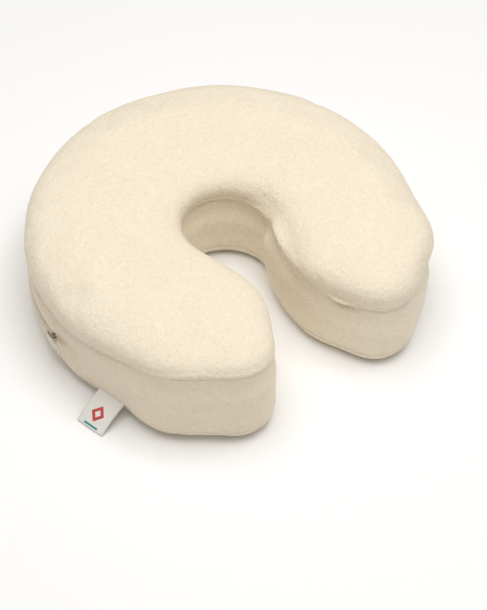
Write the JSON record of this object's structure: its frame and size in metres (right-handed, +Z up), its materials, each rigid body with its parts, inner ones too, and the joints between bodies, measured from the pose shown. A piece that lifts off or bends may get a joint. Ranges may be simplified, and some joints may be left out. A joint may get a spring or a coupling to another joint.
{
  "type": "face cradle cushion",
  "caption": "Horseshoe face cradle cushion for a massage table: thick foam in a zipped brushed-fabric cover, with a breathing hole, an open throat and a folded side label.",
  "frame": {"origin": "centre of the rear hook strip's lower face, on the plane that the cushion rests on and on its mirror plane, midway between the breathing hole and the crown", "axes": "+Z up out of the base, -Y out through the open throat towards the user's chest, +Y towards the crown, +X across to the arm without the label"},
  "size_m": [0.3211, 0.2959, 0.086],
  "materials": {
    "cover_fabric": "matte",
    "comfort_foam": "matte",
    "base_foam": "matte",
    "thread": "satin",
    "zip_tape": "matte",
    "zip_coil": "satin",
    "zip_metal": "satin",
    "zip_paint": "satin",
    "label_ribbon": "satin",
    "hook_tape": "matte"
  },
  "bodies": {
    "cushion": {"comfort_foam": "comfort_foam", "base_foam": "base_foam", "cover_top_panel": "cover_fabric", "cover_side_band": "cover_fabric", "cover_bottom_panel": "cover_fabric", "zip_band_upper": "cover_fabric", "zip_band_lower": "cover_fabric", "thread_top_seam": "thread", "thread_bottom_seam": "thread", "thread_zip_upper": "thread", "thread_zip_lower": "thread", "zip_tape_upper": "zip_tape", "zip_tape_lower": "zip_tape", "zip_coil_upper": "zip_coil", "zip_coil_lower": "zip_coil", "zip_top_stops": "zip_metal", "zip_bottom_stop": "zip_metal", "hook_strip_rear": "hook_tape", "hook_strip_left": "hook_tape", "hook_strip_right": "hook_tape"},
    "slider": {"zip_slider": "zip_paint"},
    "pull": {"zip_pull": "zip_paint"},
    "label": {"woven_label": "label_ribbon"}
  },
  "joints": [
    {"name": "zip_slider_travel", "type": "hinge", "parent": "cushion", "child": "slider", "pos_m": [0, -0.09075, 0.0295], "axis": [0, 0, -1], "range_deg": [0, 170.94]},
    {"name": "zip_pull_swing", "type": "hinge", "parent": "slider", "child": "pull", "pos_m": [-0.15491, -0.07847, 0.0295], "axis": [0, 0, -1], "range_deg": [0, 176]},
    {"name": "label_flap", "type": "hinge", "parent": "cushion", "child": "label", "pos_m": [-0.14268, -0.14903, 0.0125], "axis": [-0.2689, 0.9632, 0], "range_deg": [0, 110], "stiffness_Nm_per_rad": 0.002}
  ]
}
